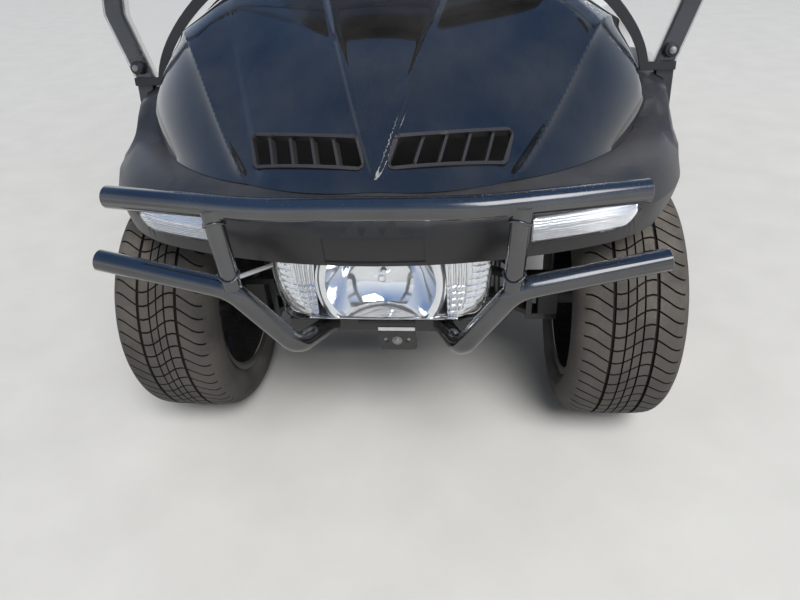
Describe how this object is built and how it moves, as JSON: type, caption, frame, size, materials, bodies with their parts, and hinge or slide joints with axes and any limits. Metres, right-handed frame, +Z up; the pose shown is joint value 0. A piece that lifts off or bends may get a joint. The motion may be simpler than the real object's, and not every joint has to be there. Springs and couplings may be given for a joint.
{
  "type": "golf cart",
  "caption": "Open two-seat golf cart with roof, windscreen, tubular brush guard, wide low-profile tyres, steering front wheels, lifting seat and rear bag well.",
  "frame": {"origin": "centre of the bounding box's underside: on the ground, midway along and across the cart", "axes": "+Z up, the cart's front faces -Y and its rear +Y, +X is the driver's side"},
  "size_m": [1.308, 2.562, 1.8899],
  "materials": {
    "black_steel": "satin powder coat",
    "spring_steel": "dull paint",
    "damper": "satin",
    "gloss_black": "high gloss, dusty",
    "charcoal_plastic": "matte",
    "textured_black": "fine grain, satin",
    "clear_lens": "clear moulded",
    "clear_pane": "clear sheet",
    "reflector": "bright, fluted",
    "black_rubber": "matte",
    "roof_plastic": "fine grain",
    "floor_mat": "ribbed mat",
    "battery_case": "plain",
    "seat_vinyl": "grained vinyl",
    "red_lens": "moulded lens",
    "cast_housing": "painted casting",
    "wheel_grip": "soft grain",
    "tyre": "dusty tread",
    "black_wheel": "gloss black"
  },
  "bodies": {
    "chassis": {"frame": "black_steel", "front_bracket": "black_steel", "brush_guard": "black_steel", "front_leaf_spring": "spring_steel", "upper_arms": "black_steel", "kingpin_carriers": "black_steel", "dampers": "damper", "damper_towers": "black_steel", "front_cowl": "gloss_black", "vent_grilles": "charcoal_plastic", "front_bumper": "textured_black", "side_lamps": "clear_lens", "headlamp_lens": "clear_lens", "headlamp_body": "reflector", "front_posts": "black_steel", "windscreen_lower": "clear_pane", "windscreen_upper": "clear_pane", "windscreen_joint": "black_rubber", "windscreen_seal": "black_rubber", "screen_knobs": "black_rubber", "roof": "roof_plastic", "rear_posts": "black_steel", "dashboard": "textured_black", "steering_column": "black_steel", "floor": "floor_mat", "brake_pedal": "black_rubber", "accelerator_pedal": "black_rubber", "rocker_panels": "textured_black", "seat_pod": "textured_black", "battery_block": "battery_case", "seat_hinges": "black_steel", "back_cushion": "seat_vinyl", "back_board": "textured_black", "back_frame": "black_steel", "hip_restraints": "black_steel", "rear_body": "gloss_black", "bag_well": "textured_black", "bag_rack": "black_steel", "sweater_basket": "textured_black", "rear_bumper": "textured_black", "tail_lamps": "red_lens", "rear_axle": "cast_housing", "rear_leaf_springs": "spring_steel"},
    "knuckle_left_body": {"knuckle_left": "cast_housing"},
    "knuckle_right_body": {"knuckle_right": "cast_housing"},
    "tie_rod_body": {"tie_rod": "black_steel"},
    "wheel_front_left": {"tyre_front_left": "tyre", "rim_front_left": "black_wheel"},
    "wheel_front_right": {"tyre_front_right": "tyre", "rim_front_right": "black_wheel"},
    "wheel_rear_left": {"tyre_rear_left": "tyre", "rim_rear_left": "black_wheel"},
    "wheel_rear_right": {"tyre_rear_right": "tyre", "rim_rear_right": "black_wheel"},
    "steering_wheel_body": {"steering_wheel": "wheel_grip"},
    "seat_lid": {"seat_board": "textured_black", "seat_cushion": "seat_vinyl"}
  },
  "joints": [
    {"name": "steer_left", "type": "hinge", "parent": "chassis", "child": "knuckle_left_body", "pos_m": [0.365, -0.817, 0.285], "axis": [0, 0, 1], "range_deg": [-28, 28]},
    {"name": "steer_right", "type": "hinge", "parent": "chassis", "child": "knuckle_right_body", "pos_m": [-0.365, -0.817, 0.285], "axis": [0, 0, 1], "range_deg": [-28, 28]},
    {"name": "tie_rod_pivot", "type": "hinge", "parent": "knuckle_left_body", "child": "tie_rod_body", "pos_m": [0.365, -0.707, 0.243], "axis": [0, 0, 1], "range_deg": [-28, 28]},
    {"name": "steering_wheel_turn", "type": "hinge", "parent": "chassis", "child": "steering_wheel_body", "pos_m": [0.285, -0.277, 1.06], "axis": [0, 0.5878, 0.809], "range_deg": [-350, 350]},
    {"name": "front_left_spin", "type": "hinge", "parent": "knuckle_left_body", "child": "wheel_front_left", "pos_m": [0.499, -0.817, 0.285], "axis": [1, 0, 0], "continuous": true},
    {"name": "front_right_spin", "type": "hinge", "parent": "knuckle_right_body", "child": "wheel_front_right", "pos_m": [-0.499, -0.817, 0.285], "axis": [1, 0, 0], "continuous": true},
    {"name": "rear_left_spin", "type": "hinge", "parent": "chassis", "child": "wheel_rear_left", "pos_m": [0.499, 0.839, 0.285], "axis": [1, 0, 0], "continuous": true},
    {"name": "rear_right_spin", "type": "hinge", "parent": "chassis", "child": "wheel_rear_right", "pos_m": [-0.499, 0.839, 0.285], "axis": [1, 0, 0], "continuous": true},
    {"name": "seat_lid_hinge", "type": "hinge", "parent": "chassis", "child": "seat_lid", "pos_m": [0, -0.033, 0.702], "axis": [1, 0, 0], "range_deg": [0, 70]}
  ],
  "couplings": [
    {"joint": "steer_right", "follows": "steer_left", "ratio": 1},
    {"joint": "tie_rod_pivot", "follows": "steer_left", "ratio": -1},
    {"joint": "steering_wheel_turn", "follows": "steer_left", "ratio": 12.5}
  ]
}
